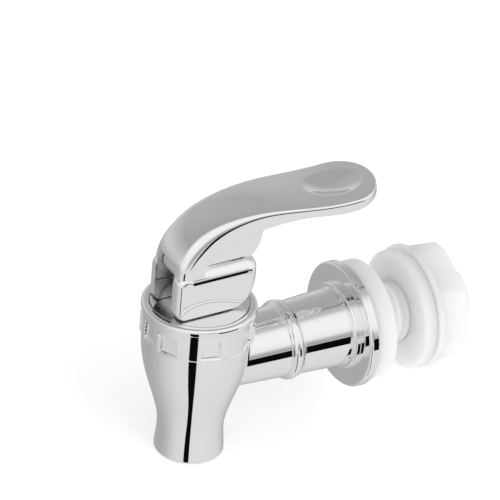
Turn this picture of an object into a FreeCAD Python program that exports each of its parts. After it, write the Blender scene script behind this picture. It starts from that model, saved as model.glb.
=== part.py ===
import FreeCAD, Part
import Sketcher
import math
import os
import re
from FreeCAD import Vector, Rotation, Placement

# Beverage dispenser spigot: a self-closing valve that is screwed through a dispenser's wall.
# The frame's origin is the middle of the chrome flange's rear face, on the thread's axis.
# +Y runs along the thread into the dispenser, +Z is up, and the valve hangs in front at -Y.

os.makedirs("parts", exist_ok=True)
doc = FreeCAD.newDocument("spigot")

# Driving dimensions in millimetres and degrees
SIZES = [
    # the horizontal arm and its flange
    ("flange_radius", 17.2),
    ("flange_thick", 2.6),
    ("flange_round", 1.0),
    ("root_radius", 11.9),
    ("root_length", 1.5),
    ("arm_radius_wall", 11.0),
    ("arm_radius_body", 8.5),
    ("reach", 47.0),
    ("bead_place", 20.6),
    ("bead_rise", 1.0),
    ("bead_round", 1.6),
    ("waterway_radius", 5.0),
    # the hanging body, from its shoulder down to its mouth
    ("shoulder_radius", 14.9),
    ("shoulder_level", 9.2),
    ("belly_radius", 13.0),
    ("belly_level", -3.2),
    ("throat_radius", 10.2),
    ("throat_level", -11.9),
    ("waist_radius", 8.95),
    ("waist_level", -18.1),
    ("mouth_radius", 9.35),
    ("mouth_level", -26.4),
    ("outlet_radius", 7.4),
    ("collar_radius", 12.5),
    ("collar_height", 3.6),
    ("chamber_radius", 10.4),
    ("chamber_floor", -7.2),
    ("seat_radius", 5.4),
    ("seat_rise", 0.8),
    ("seat_width", 1.0),
    ("seat_depth", 4.5),
    # the bonnet that closes the body
    ("bonnet_height", 10.0),
    ("rim_radius", 15.5),
    ("rim_height", 2.4),
    ("rim_round", 0.7),
    ("deck_thick", 1.5),
    ("opening_radius", 13.4),
    ("window_height", 5.8),
    ("window_width", 5.4),
    ("window_taper", 0.5),
    ("window_depth", 0.7),
    ("rib_width", 1.7),
    ("rib_rise", 0.5),
    ("seal_thick", 0.5),
    # the turntable under the lever
    ("plate_thick", 4.2),
    ("pocket_depth", 3.1),
    ("pocket_front", 10.7),
    ("pocket_rear", 4.7),
    # the stem, its spring and its plug
    ("stem_radius", 2.4),
    ("eye_radius", 4.0),
    ("eye_width", 8.2),
    ("pin_radius", 1.5),
    ("pin_height", 6.1),
    ("plug_radius", 8.0),
    ("plug_height", 4.6),
    ("plug_hub_radius", 4.6),
    ("plug_chamfer", 1.2),
    ("plug_rim", 1.0),
    ("retainer_radius", 7.0),
    ("retainer_thick", 0.9),
    ("spring_washer_thick", 0.6),
    ("spring_washer_drop", 1.6),
    ("spring_radius", 5.4),
    ("wire_radius", 0.4),
    ("spring_turns", 4.5),
    # the lever
    ("front_reach", 11.6),
    ("ear_half_width", 7.9),
    ("ear_height", 14.4),
    ("ear_rear", 13.7),
    ("ear_toe_round", 2.5),
    ("ear_heel", 5.2),
    ("ear_heel_round", 8.5),
    ("ear_top_round", 4.35),
    ("ear_crest_round", 4.2),
    ("slot_half_width", 4.5),
    ("slot_height", 16.0),
    ("neck_half_width", 7.2),
    ("pad_half_width", 10.3),
    ("crown_height", 28.3),
    ("pad_height", 26.9),
    ("lever_reach", 50.3),
    ("skirt_height", 2.6),
    ("lever_wall", 1.9),
    ("crown_round", 2.4),
    ("pad_round", 1.1),
    ("tip_round", 9.0),
    ("dish_from_tip", 11.5),
    ("dish_length", 18.0),
    ("dish_width", 11.6),
    ("dish_depth", 1.1),
    # the shank, its washers and its nut
    ("shank_radius", 8.2),
    ("shank_length", 34.0),
    ("shank_bore", 4.6),
    ("shank_socket", 11.0),
    ("shank_chamfer", 0.8),
    ("washer_radius", 16.3),
    ("outer_washer_thick", 6.2),
    ("wall_gap", 8.6),
    ("inner_washer_thick", 4.0),
    ("washer_round", 1.9),
    ("nut_collar_radius", 17.2),
    ("nut_collar_thick", 1.4),
    ("nut_corner_radius", 17.9),
    ("nut_round_radius", 16.9),
    ("nut_height", 8.2),
    ("nut_turn", 34.0),
    ("nut_end_round", 1.6),
    # clearances
    ("running_fit", 0.08),
    ("press_fit", 0.02),
    ("thread_fit", 0.10),
    ("rest_gap", 0.20),
    ("small_gap", 0.15),
]

sheet = doc.addObject("Spreadsheet::Sheet", "Sizes")
for row, (alias, number) in enumerate(SIZES, start=1):
    sheet.set("A%d" % row, alias)
    sheet.set("B%d" % row, str(number))
    sheet.setAlias("B%d" % row, alias)
doc.recompute()
ALIASES = {alias for alias, number in SIZES}


def size(alias):
    """The number that the sheet holds under this alias."""
    return float(sheet.get(alias))


def formula(text):
    """Turns each alias in the text into a reference to the sheet."""
    def refer(word):
        return "Sizes." + word.group(0) if word.group(0) in ALIASES else word.group(0)

    return re.sub(r"[a-z_]+", refer, text)


def bind(thing, **formulas):
    """Binds properties of a document object to formulas on the sheet's aliases."""
    for prop, text in formulas.items():
        thing.setExpression(prop, formula(text))


def locate(thing, along_x="0", along_y="0", along_z="0", turn=None):
    """Turns the object, then binds the place of its own origin."""
    thing.Placement = Placement(Vector(), turn or Rotation())
    thing.setExpression("Placement.Base.x", formula(along_x))
    thing.setExpression("Placement.Base.y", formula(along_y))
    thing.setExpression("Placement.Base.z", formula(along_z))
    return thing


ALONG_Y = Rotation(Vector(1, 0, 0), -90)
ALONG_X = Rotation(Vector(0, 1, 0), 90)
AXIS_Y = "-reach"


def cylinder(name, radius, height, **place):
    rod = doc.addObject("Part::Cylinder", name)
    bind(rod, Radius=radius, Height=height)
    return locate(rod, **place)


def box(name, length, width, height, **place):
    block = doc.addObject("Part::Box", name)
    bind(block, Length=length, Width=width, Height=height)
    return locate(block, **place)


def fuse(name, *things):
    whole = doc.addObject("Part::MultiFuse", name)
    whole.Shapes = list(things)
    whole.Refine = True
    return whole


def cut(name, base, tool):
    rest = doc.addObject("Part::Cut", name)
    rest.Base = base
    rest.Tool = tool
    rest.Refine = True
    return rest


def common(name, *things):
    shared = doc.addObject("Part::MultiCommon", name)
    shared.Shapes = list(things)
    return shared


def rounded(name, base, radius, choose):
    """Rounds the edges of a boolean or primitive that the test chooses."""
    doc.recompute()
    edges = [i for i, edge in enumerate(base.Shape.Edges, start=1) if choose(edge)]
    fillet = doc.addObject("Part::Fillet", name)
    fillet.Base = base
    fillet.Edges = [(i, radius, radius) for i in edges]
    return fillet


def is_ring(edge, radius, middle):
    """True for a circle of this radius whose middle is near the given point."""
    curve = edge.Curve
    if not isinstance(curve, Part.Circle):
        return False
    return abs(curve.Radius - radius) < 1e-4 and (curve.Center - middle).Length < 1e-4


def turned(name, corners, turn=None, **place):
    """A PartDesign body turned about its own Z axis from (radius, level) corners."""
    body = doc.addObject("PartDesign::Body", name)
    plane = [f for f in body.Origin.OriginFeatures if f.Role == "XZ_Plane"][0]
    sketch = body.newObject("Sketcher::SketchObject", name + "_section")
    sketch.AttachmentSupport = (plane, [""])
    sketch.MapMode = "FlatFace"
    spots = [(Vector(evaluate(r), evaluate(z), 0)) for r, z in corners]
    last = len(spots) - 1
    for i, spot in enumerate(spots):
        sketch.addGeometry(Part.LineSegment(spot, spots[0 if i == last else i + 1]), False)
    for i, (radius, level) in enumerate(corners):
        before = last if i == 0 else i - 1
        sketch.addConstraint(Sketcher.Constraint("Coincident", before, 2, i, 1))
        if radius == "0":
            sketch.addConstraint(Sketcher.Constraint("PointOnObject", i, 1, -2))
        else:
            across = sketch.addConstraint(Sketcher.Constraint("DistanceX", -1, 1, i, 1, spots[i].x))
            sketch.setExpression("Constraints[%d]" % across, formula(radius))
        if level == "0":
            sketch.addConstraint(Sketcher.Constraint("PointOnObject", i, 1, -1))
        else:
            up = sketch.addConstraint(Sketcher.Constraint("DistanceY", -1, 1, i, 1, spots[i].y))
            sketch.setExpression("Constraints[%d]" % up, formula(level))
    spin = body.newObject("PartDesign::Revolution", name + "_turning")
    spin.Profile = (sketch, [""])
    spin.ReferenceAxis = (sketch, ["V_Axis"])
    spin.Angle = 360
    sketch.Visibility = False
    body.Tip = spin
    locate(body, turn=turn, **place)
    return body


def evaluate(text):
    """The value of a formula on the sheet's aliases, as a plain number."""
    probe = sheet.evalExpression(re.sub(r"Sizes\.", "", formula(text)))
    return float(probe)


def round_body(body, name, radius, choose):
    """Adds a PartDesign fillet on the edges of the body's tip that the test chooses."""
    doc.recompute()
    tip = body.Tip
    names = ["Edge%d" % i for i, edge in enumerate(tip.Shape.Edges, start=1) if choose(edge)]
    fillet = body.newObject("PartDesign::Fillet", name)
    fillet.Base = (tip, names)
    bind(fillet, Radius=radius)
    body.Tip = fillet


def feature(name, shape):
    """A piece whose form is free, set from Part's own curves."""
    piece = doc.addObject("Part::Feature", name)
    piece.Shape = shape
    return piece


def smooth(points, start=None, end=None):
    """A smooth curve through a few points, with its end directions where given."""
    curve = Part.BSplineCurve()
    if start is None:
        curve.interpolate(points)
    else:
        curve.interpolate(Points=points, InitialTangent=start, FinalTangent=end)
    return curve.toShape()


def line(a, b):
    return Part.LineSegment(a, b).toShape()


def arc(a, through, b):
    return Part.Arc(a, through, b).toShape()


nodes = {}


def keep(name, thing):
    """Names a finished piece, which is written to a file of that name."""
    thing.Label = name
    nodes[name] = thing


# Valve body: one chrome casting of flange, horizontal arm and hanging spout
def vase_form():
    """The body's outside below the bonnet: a smooth profile turned about the upright axis."""

    def spot(radius, level):
        return Vector(size(radius), 0, size(level))

    down = Vector(0, 0, -1)
    profile = [
        spot("shoulder_radius", "shoulder_level"),
        spot("belly_radius", "belly_level"),
        spot("throat_radius", "throat_level"),
        spot("waist_radius", "waist_level"),
        spot("mouth_radius", "mouth_level"),
    ]
    top = Vector(0, 0, size("shoulder_level"))
    foot = Vector(0, 0, size("mouth_level"))
    outside = smooth(profile, down, down)
    wire = Part.Wire([outside, line(profile[-1], foot), line(foot, top), line(top, profile[0])])
    solid = Part.Face(wire).revolve(Vector(), Vector(0, 0, 1), 360)
    solid.translate(Vector(0, -size("reach"), 0))
    return solid


def valve_body():
    vase = feature("body_vase", vase_form())
    collar = cylinder("body_collar", "collar_radius", "collar_height + 1",
                      along_y=AXIS_Y, along_z="shoulder_level - 1")
    arm = doc.addObject("Part::Cone", "body_arm")
    bind(arm, Radius1="arm_radius_body", Radius2="arm_radius_wall", Height="reach - flange_thick / 2")
    locate(arm, along_y=AXIS_Y, turn=ALONG_Y)
    flange_disc = cylinder("flange_disc", "flange_radius", "flange_thick",
                           along_y="-flange_thick", turn=ALONG_Y)
    front = Vector(0, -size("flange_thick"), 0)
    flange = rounded("flange_rounded", flange_disc, size("flange_round"),
                     lambda edge: is_ring(edge, size("flange_radius"), front))
    root = cylinder("arm_root", "root_radius", "root_length + 1",
                    along_y="-flange_thick - root_length", turn=ALONG_Y)
    root_front = Vector(0, -size("flange_thick") - size("root_length"), 0)
    root_round = rounded("arm_root_rounded", root, size("root_length") * 0.45,
                         lambda edge: is_ring(edge, size("root_radius"), root_front))
    bead = doc.addObject("Part::Torus", "arm_bead")
    at_bead = "arm_radius_wall - (arm_radius_wall - arm_radius_body) * bead_place / reach"
    bind(bead, Radius1=at_bead + " + bead_rise - bead_round", Radius2="bead_round")
    locate(bead, along_y="-bead_place", turn=ALONG_Y)
    outside = fuse("body_outside", vase, collar, arm, flange, root_round, bead)

    chamber = cylinder("body_chamber", "chamber_radius", "shoulder_level + collar_height - chamber_floor + 1",
                       along_y=AXIS_Y, along_z="chamber_floor")
    seat_tube = cylinder("seat_outside", "seat_radius + seat_width", "seat_rise",
                         along_y=AXIS_Y, along_z="chamber_floor")
    hollow = cut("chamber_round_seat", chamber, seat_tube)
    throat = cylinder("seat_throat", "seat_radius", "seat_rise + seat_depth + 1",
                      along_y=AXIS_Y, along_z="chamber_floor - seat_depth - 0.5")
    outlet = cylinder("outlet", "outlet_radius", "chamber_floor - seat_depth - mouth_level + 1",
                      along_y=AXIS_Y, along_z="mouth_level - 1")
    waterway = cylinder("waterway", "waterway_radius", "reach", along_y=AXIS_Y, turn=ALONG_Y)
    socket = cylinder("shank_socket_hole", "shank_bore + 2 + thread_fit", "shank_socket + 1",
                      along_y="-shank_socket", turn=ALONG_Y)
    spaces = fuse("body_spaces", hollow, throat, outlet, waterway, socket)
    keep("valve_body", cut("valve_body_solid", outside, spaces))


# Shank and what is screwed on it, all of white plastic and silicone
def shank():
    sleeve = "shank_bore + 2"
    corners = [
        ("shank_bore", "-shank_socket + small_gap"),
        (sleeve, "-shank_socket + small_gap"),
        (sleeve, "small_gap"),
        ("shank_radius", "small_gap"),
        ("shank_radius", "shank_length - shank_chamfer"),
        ("shank_radius - shank_chamfer", "shank_length"),
        ("shank_bore", "shank_length"),
    ]
    keep("threaded_shank", turned("threaded_shank", corners, turn=ALONG_Y))


def washer(name, thick, place):
    corners = [
        ("shank_radius + thread_fit", "0"),
        ("washer_radius", "0"),
        ("washer_radius", thick),
        ("shank_radius + thread_fit", thick),
    ]
    ring = turned(name, corners, turn=ALONG_Y, along_y=place)
    radius = size("washer_radius")
    ends = (Vector(), Vector(0, 0, size(thick)))
    round_body(ring, name + "_edges", "washer_round",
               lambda edge: any(is_ring(edge, radius, end) for end in ends))
    keep(name, ring)


def lock_nut():
    place = "outer_washer_thick + wall_gap + inner_washer_thick + 3 * small_gap"
    collar = cylinder("nut_collar", "nut_collar_radius", "nut_collar_thick", along_y=place, turn=ALONG_Y)
    prism = doc.addObject("Part::Prism", "nut_hexagon")
    prism.Polygon = 6
    bind(prism, Circumradius="nut_corner_radius", Height="nut_collar_thick + nut_height")
    turn = Rotation(Vector(0, 1, 0), -size("nut_turn")).multiply(ALONG_Y)
    locate(prism, along_y=place, turn=turn)
    round_bar = cylinder("nut_round_bar", "nut_round_radius", "nut_collar_thick + nut_height",
                         along_y=place, turn=ALONG_Y)
    bar_end = Vector(0, evaluate(place + " + nut_collar_thick + nut_height"), 0)
    soft_bar = rounded("nut_soft_bar", round_bar, size("nut_end_round"),
                       lambda edge: is_ring(edge, size("nut_round_radius"), bar_end))
    hexagon = common("nut_corners", prism, soft_bar)
    hole = cylinder("nut_hole", "shank_radius + thread_fit", "nut_collar_thick + nut_height + 2",
                    along_y=place + " - 1", turn=ALONG_Y)
    keep("lock_nut", cut("lock_nut_solid", fuse("nut_outside", collar, hexagon), hole))


# Bonnet: the ring that closes the body, with finger recesses round its skirt
def bonnet():
    deck_top = "bonnet_height - plate_thick"
    corners = [
        ("collar_radius + running_fit", "0"),
        ("shoulder_radius", "0"),
        ("shoulder_radius", "bonnet_height - rim_height"),
        ("rim_radius", "bonnet_height - rim_height + (rim_radius - shoulder_radius)"),
        ("rim_radius", "bonnet_height"),
        ("opening_radius", "bonnet_height"),
        ("opening_radius", deck_top),
        ("stem_radius + 0.6", deck_top),
        ("stem_radius + 0.6", deck_top + " - deck_thick"),
        ("collar_radius + running_fit", deck_top + " - deck_thick"),
    ]
    ring = turned("bonnet_ring", corners, along_y=AXIS_Y, along_z="shoulder_level + small_gap")
    level = size("bonnet_height")
    round_body(ring, "bonnet_rim_round", "rim_round",
               lambda edge: is_ring(edge, size("rim_radius"), Vector(0, 0, level)))
    # angles are measured about the upright axis from +X towards +Y
    windows = [-91.5, -62.0, -15.6, 34.7, 64.0, 118.0, 147.0, 196.0]
    ribs = [-76.0, -120.0, 49.5, 132.5]
    cutters = [window_cutter("window_%d" % i, angle) for i, angle in enumerate(windows)]
    open_ring = cut("bonnet_with_windows", ring, fuse("window_cutters", *cutters))
    bars = [window_rib("rib_%d" % i, angle) for i, angle in enumerate(ribs)]
    keep("bonnet", fuse("bonnet_solid", open_ring, *bars))


def window_cutter(name, angle):
    """A tapered block that planes one recess into the skirt, wider at its foot."""
    block = doc.addObject("Part::Wedge", name)
    bind(block, Xmin="-window_width / 2", Xmax="window_width / 2", Ymin="0", Ymax="window_height",
         X2min="-window_width / 2 + window_taper", X2max="window_width / 2 - window_taper",
         Zmin="0", Zmax="3", Z2min="0", Z2max="3")
    upright = Rotation(Vector(1, 0, 0), 90)
    turn = Rotation(Vector(0, 0, 1), angle + 90).multiply(upright)
    away = "(shoulder_radius - window_depth) * "
    return locate(block, turn=turn, along_x=away + "cos(%g)" % angle,
                  along_y=AXIS_Y + " + " + away + "sin(%g)" % angle,
                  along_z="shoulder_level + small_gap - 0.01")


def window_rib(name, angle):
    """A narrow upright bar between two recesses."""
    away = "(shoulder_radius - window_depth - 0.4)"
    from_x = "%s * cos(%g) + rib_width / 2 * sin(%g)" % (away, angle, angle)
    from_y = "%s + %s * sin(%g) - rib_width / 2 * cos(%g)" % (AXIS_Y, away, angle, angle)
    return box(name, "window_depth + rib_rise + 0.4", "rib_width", "window_height",
               turn=Rotation(Vector(0, 0, 1), angle), along_x=from_x, along_y=from_y,
               along_z="shoulder_level + small_gap")


def bonnet_seal():
    corners = [
        ("chamber_radius + small_gap", "0"),
        ("collar_radius", "0"),
        ("collar_radius", "seal_thick"),
        ("chamber_radius + small_gap", "seal_thick"),
    ]
    level = "shoulder_level + collar_height"
    keep("bonnet_seal", turned("bonnet_seal", corners, along_y=AXIS_Y, along_z=level))


# Turntable: the flat plate that turns in the bonnet and carries the lever's cams
def turntable():
    level = "shoulder_level + small_gap + bonnet_height - plate_thick + small_gap"
    disc = cylinder("turntable_disc", "opening_radius - running_fit", "plate_thick - small_gap",
                    along_y=AXIS_Y, along_z=level)
    hole = cylinder("turntable_hole", "stem_radius + running_fit", "plate_thick + 2",
                    along_y=AXIS_Y, along_z=level + " - 1")
    wide = "ear_half_width - slot_half_width + 2 * rest_gap"
    long = "pocket_front + pocket_rear"
    deep = level + " + plate_thick - small_gap - pocket_depth"
    right = box("pocket_right", wide, long, "pocket_depth + 1", along_x="slot_half_width - rest_gap",
                along_y=AXIS_Y + " - pocket_front", along_z=deep)
    left = box("pocket_left", wide, long, "pocket_depth + 1", along_x="-ear_half_width - rest_gap",
               along_y=AXIS_Y + " - pocket_front", along_z=deep)
    keep("turntable", cut("turntable_solid", disc, fuse("turntable_holes", hole, right, left)))


PLATE_TOP = "(shoulder_level + small_gap + bonnet_height)"
PIN_LEVEL = "(shoulder_level + small_gap + bonnet_height + rest_gap + pin_height)"
SEAT_TOP = "(chamber_floor + seat_rise + small_gap)"
DECK_FOOT = "(shoulder_level + small_gap + bonnet_height - plate_thick - deck_thick)"


# Stem group: what the lever lifts off the seat
def stem():
    hub_top = SEAT_TOP + " + plug_height"
    rod = cylinder("stem_rod", "stem_radius", PIN_LEVEL + " - %s - plug_chamfer" % SEAT_TOP,
                   along_y=AXIS_Y, along_z=SEAT_TOP + " + plug_chamfer")
    eye = cylinder("stem_eye", "eye_radius", "eye_width", along_x="-eye_width / 2", along_y=AXIS_Y,
                   along_z=PIN_LEVEL, turn=ALONG_X)
    flange = cylinder("stem_shoulder", "stem_radius + 1.1", "1.2", along_y=AXIS_Y,
                      along_z=hub_top + " + retainer_thick + 2 * small_gap")
    hole = cylinder("stem_pin_hole", "pin_radius + running_fit", "eye_width + 2",
                    along_x="-eye_width / 2 - 1", along_y=AXIS_Y, along_z=PIN_LEVEL, turn=ALONG_X)
    keep("stem", cut("stem_solid", fuse("stem_outside", rod, eye, flange), hole))


def seal_plug():
    corners = [
        ("0", "0"),
        ("plug_radius - plug_chamfer", "0"),
        ("plug_radius", "plug_chamfer"),
        ("plug_radius", "plug_chamfer + plug_rim"),
        ("plug_hub_radius", "2 * plug_chamfer + plug_rim"),
        ("plug_hub_radius", "plug_height"),
        ("stem_radius + press_fit", "plug_height"),
        ("stem_radius + press_fit", "plug_chamfer"),
        ("0", "plug_chamfer"),
    ]
    keep("seal_plug", turned("seal_plug", corners, along_y=AXIS_Y, along_z=SEAT_TOP))


def spring_retainer():
    corners = [
        ("stem_radius + 0.05", "0"),
        ("retainer_radius", "0"),
        ("retainer_radius", "retainer_thick"),
        ("stem_radius + 0.05", "retainer_thick"),
    ]
    keep("spring_retainer", turned("spring_retainer", corners, along_y=AXIS_Y,
                                   along_z=SEAT_TOP + " + plug_height + small_gap"))


def spring_washer():
    corners = [
        ("stem_radius + running_fit", "0"),
        ("spring_radius + wire_radius + 0.5", "0"),
        ("spring_radius + wire_radius + 0.5", "spring_washer_thick"),
        ("stem_radius + running_fit", "spring_washer_thick"),
    ]
    keep("spring_washer", turned("spring_washer", corners, along_y=AXIS_Y,
                                 along_z=DECK_FOOT + " - spring_washer_drop - spring_washer_thick"))


def return_spring():
    """Round wire coiled between the retainer and the washer, as a chain of tilted half rings."""
    foot = evaluate(SEAT_TOP + " + plug_height + retainer_thick + 2 * small_gap + wire_radius")
    head = evaluate(DECK_FOOT + " - spring_washer_drop - spring_washer_thick - wire_radius - small_gap")
    halves = round(2 * size("spring_turns"))
    climb = (head - foot) / halves
    forth = Vector(0, 1, 0)
    middle = Vector(0, -size("reach"), foot)
    rings = []
    for k in range(halves):
        side = 1 if k % 2 == 0 else -1
        start = middle + Vector(side * size("spring_radius"), 0, climb * k)
        end = middle + Vector(-side * size("spring_radius"), 0, climb * (k + 1))
        centre = (start + end) * 0.5
        wire = Part.Face(Part.Wire(Part.makeCircle(size("wire_radius"), start, forth)))
        rings.append(wire.revolve(centre, (start - centre).cross(forth * side), 180))
    keep("return_spring", feature("spring_coil", rings[0].multiFuse(rings[1:])))


def pivot_pin():
    length = "2 * ear_half_width - 2.4"
    keep("pivot_pin", cylinder("pivot_pin_rod", "pin_radius", length, along_x="-ear_half_width + 1.2",
                               along_y=AXIS_Y, along_z=PIN_LEVEL, turn=ALONG_X))


# Lever: a hollow swan neck that grows out of two cam ears and ends in a thumb pad
def lever_point(ahead, up, across=0.0):
    """A point in the lever's own terms: distance behind the stem, height over the ears' feet."""
    foot = evaluate(PLATE_TOP + " + rest_gap")
    return Vector(across, ahead - size("reach"), foot + up)


def extrude_across(wire, half_width):
    face = Part.Face(wire)
    face.translate(Vector(-half_width, 0, 0))
    return face.extrude(Vector(2 * half_width, 0, 0))


def ear_block():
    """Both ears as one block: flat foot, rounded toe and a round heel behind."""
    toe, heel, bend = size("ear_toe_round"), size("ear_heel_round"), size("ear_crest_round")
    front, back, top, flat = -size("front_reach"), size("ear_rear"), size("ear_height"), size("ear_heel")
    slope = math.sqrt(0.5)
    nick = 1 - slope
    toe_middle = lever_point(front + toe * nick, toe * nick)
    crest_middle = lever_point(back - bend * nick, top - bend * nick)
    heel_middle = lever_point(flat + heel * slope, heel * nick)
    edges = [
        line(lever_point(flat, 0), lever_point(front + toe, 0)),
        arc(lever_point(front + toe, 0), toe_middle, lever_point(front, toe)),
        line(lever_point(front, toe), lever_point(front, top)),
        line(lever_point(front, top), lever_point(back - bend, top)),
        arc(lever_point(back - bend, top), crest_middle, lever_point(back, top - bend)),
        line(lever_point(back, top - bend), lever_point(flat + heel, heel)),
        arc(lever_point(flat + heel, heel), heel_middle, lever_point(flat, 0)),
    ]
    block = extrude_across(Part.Wire(edges), size("ear_half_width"))
    return block.common(ear_section().extrude(Vector(0, 80, 0)))


def ear_section():
    """The ears' section across the lever, with both top corners rounded."""
    half, top, soft = size("ear_half_width"), size("ear_height"), size("ear_top_round")
    nick = soft * (1 - math.sqrt(0.5))
    start = -size("front_reach") - 10

    def spot(across, up):
        return lever_point(start, up, across)

    edges = [
        line(spot(-half, -1), spot(half, -1)),
        line(spot(half, -1), spot(half, top - soft)),
        arc(spot(half, top - soft), spot(half - nick, top - nick), spot(half - soft, top)),
        line(spot(half - soft, top), spot(soft - half, top)),
        arc(spot(soft - half, top), spot(nick - half, top - nick), spot(-half, top - soft)),
        line(spot(-half, top - soft), spot(-half, -1)),
    ]
    return Part.Face(Part.Wire(edges))


def arm_stations():
    """The arm's stations: ahead, up, slope in degrees, half width, depth and corner radius."""
    front, crown, pad = size("front_reach"), size("crown_height"), size("pad_height")
    neck, wide, skirt = size("neck_half_width"), size("pad_half_width"), size("skirt_height")
    reach, soft, crisp = size("lever_reach"), size("crown_round"), size("pad_round")
    swell = wide - neck
    return [
        (-front, 9.5, 90, neck, front + 4.4, soft),
        (0.2 - front, 15.5, 80, neck, front + 4.4, soft),
        (3.4 - front, crown - 6.7, 64, neck, front + 2.3, soft),
        (-2.5, crown - 2.3, 44, neck, 10.6, soft),
        (4.5, crown - 0.2, 20, neck + swell * 0.10, 7.3, soft),
        (12.5, crown + 0.1, 0, neck + swell * 0.32, skirt + 1.5, crisp * 1.4),
        (20.5, crown - 0.5, -6, neck + swell * 0.62, skirt, crisp),
        (reach - 21.3, pad + 0.2, -5, neck + swell * 0.88, skirt + 0.1, crisp),
        (reach - 12.3, pad - 0.4, 0, wide, skirt + 0.9, crisp),
        (reach - 4.3, pad, 6, wide - 0.1, skirt + 0.4, crisp),
        (reach + 2.0, pad + 0.8, 8, wide - 0.3, skirt, crisp),
    ]


def arm_section(ahead, up, slope, half, depth, soft):
    """One section of the arm across its top line: flat top, round corners, straight skirts."""
    lean = math.radians(slope)
    out = Vector(0, -math.sin(lean), math.cos(lean))
    crest = lever_point(ahead, up)

    def spot(across, sink):
        return crest + Vector(across, 0, 0) - out * sink

    nick = soft * (1 - math.sqrt(0.5))
    return Part.Wire([
        line(spot(half, depth), spot(half, soft)),
        arc(spot(half, soft), spot(half - nick, nick), spot(half - soft, 0)),
        line(spot(half - soft, 0), spot(soft - half, 0)),
        arc(spot(soft - half, 0), spot(nick - half, nick), spot(-half, soft)),
        line(spot(-half, soft), spot(-half, depth)),
        line(spot(-half, depth), spot(half, depth)),
    ])


def tip_prism(inset):
    """An upright block that cuts the arm's end to a half ellipse, seen from above."""
    half, ahead = size("pad_half_width") + 0.4 - inset, size("tip_round") - inset
    start, shoulder = -size("front_reach") - 2, size("lever_reach") - size("tip_round")
    stretch = FreeCAD.Matrix()
    stretch.scale(half, ahead, 1.0)
    end = Part.makeCircle(1.0, Vector(), Vector(0, 0, 1), 0, 180).transformGeometry(stretch)
    end.translate(lever_point(shoulder, 0))
    sides = [
        line(lever_point(shoulder, 0, -half), lever_point(start, 0, -half)),
        line(lever_point(start, 0, -half), lever_point(start, 0, half)),
        line(lever_point(start, 0, half), lever_point(shoulder, 0, half)),
    ]
    return Part.Face(Part.Wire([end] + sides)).extrude(Vector(0, 0, size("crown_height") + 6))


def arm_solid():
    """The neck and pad, lofted through the stations and rounded at the tip."""
    loft = Part.makeLoft([arm_section(*station) for station in arm_stations()], True, False)
    return loft.common(tip_prism(0))


def hollow_solid():
    """The space between the arm's skirts, open below, a wall's thickness in from the outside."""
    wall = size("lever_wall")
    sections = []
    for ahead, up, slope, half, depth, soft in arm_stations()[4:]:
        lean = math.radians(slope)
        start = ahead + wall * math.sin(lean)
        sections.append(arm_section(start, up - wall * math.cos(lean), slope, half - wall, depth + 1.0, 0.5))
    return Part.makeLoft(sections, True, False).common(tip_prism(wall))


def dish_solid():
    """The thumb's hollow: a flattened ball whose foot dips into the pad."""
    long, wide, deep = size("dish_length") / 2, size("dish_width") / 2, size("dish_depth")
    ball = Part.makeSphere(1.0)
    rise = 5.0
    spread = 1 / math.sqrt(1 - (rise / (rise + deep)) ** 2)
    matrix = FreeCAD.Matrix()
    matrix.scale(wide * spread, long * spread, rise + deep)
    bowl = ball.transformGeometry(matrix)
    middle = lever_point(size("lever_reach") - size("dish_from_tip"), size("pad_height") - 0.1 + rise)
    bowl.translate(middle)
    return bowl


def lever_form():
    arm = arm_solid()
    ears = ear_block()
    body = arm.fuse(ears).removeSplitter()
    slot_wide, slot_high = size("slot_half_width"), size("slot_height")
    slot = Part.makeBox(2 * slot_wide, size("front_reach") + size("ear_rear") + 2, slot_high + 1,
                        lever_point(-size("front_reach") - 1, -1, -slot_wide))
    inside = hollow_solid()
    body = body.cut(inside).cut(slot).cut(dish_solid())
    bore, half = size("pin_radius") + size("running_fit"), size("ear_half_width") - 1.0
    start = lever_point(0, size("pin_height"), -half)
    return body.cut(Part.makeCylinder(bore, 2 * half, start, Vector(1, 0, 0)))


def lever():
    keep("lever", feature("lever_shell", lever_form()))


valve_body()
shank()
washer("outer_washer", "outer_washer_thick", "small_gap")
washer("inner_washer", "inner_washer_thick", "outer_washer_thick + wall_gap + 2 * small_gap")
lock_nut()
bonnet()
bonnet_seal()
turntable()
stem()
seal_plug()
spring_retainer()
spring_washer()
return_spring()
pivot_pin()
lever()
doc.recompute()

# Every object is checked before anything is written
for thing in doc.Objects:
    wrong = [word for word in thing.State if word in ("Invalid", "Error")]
    if wrong:
        raise RuntimeError("%s is %s" % (thing.Name, wrong))
for name, thing in nodes.items():
    if thing.Shape.isNull() or not thing.Shape.isValid():
        raise RuntimeError("%s has no valid shape" % name)
for name, thing in nodes.items():
    thing.Shape.exportStep(os.path.join("parts", name + ".step"))
    print(name, len(thing.Shape.Solids), round(thing.Shape.Volume, 1))
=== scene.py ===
# %% [markdown]
# # A dispenser spigot in plated plastic
# A spigot is the small tap at the foot of a drinks dispenser. This lesson builds the looks of one around
# its engineering model: a swan-neck lever, a round bonnet, a vase-shaped body, an arm with a flange, and
# the white shank, washers and nut that hold it to the dispenser's wall. All lengths below are written in
# millimetres and turned to metres when a mesh is made.

# %% The frame
import math

import bmesh
import bpy
import numpy as np
from mathutils import Matrix


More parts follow.
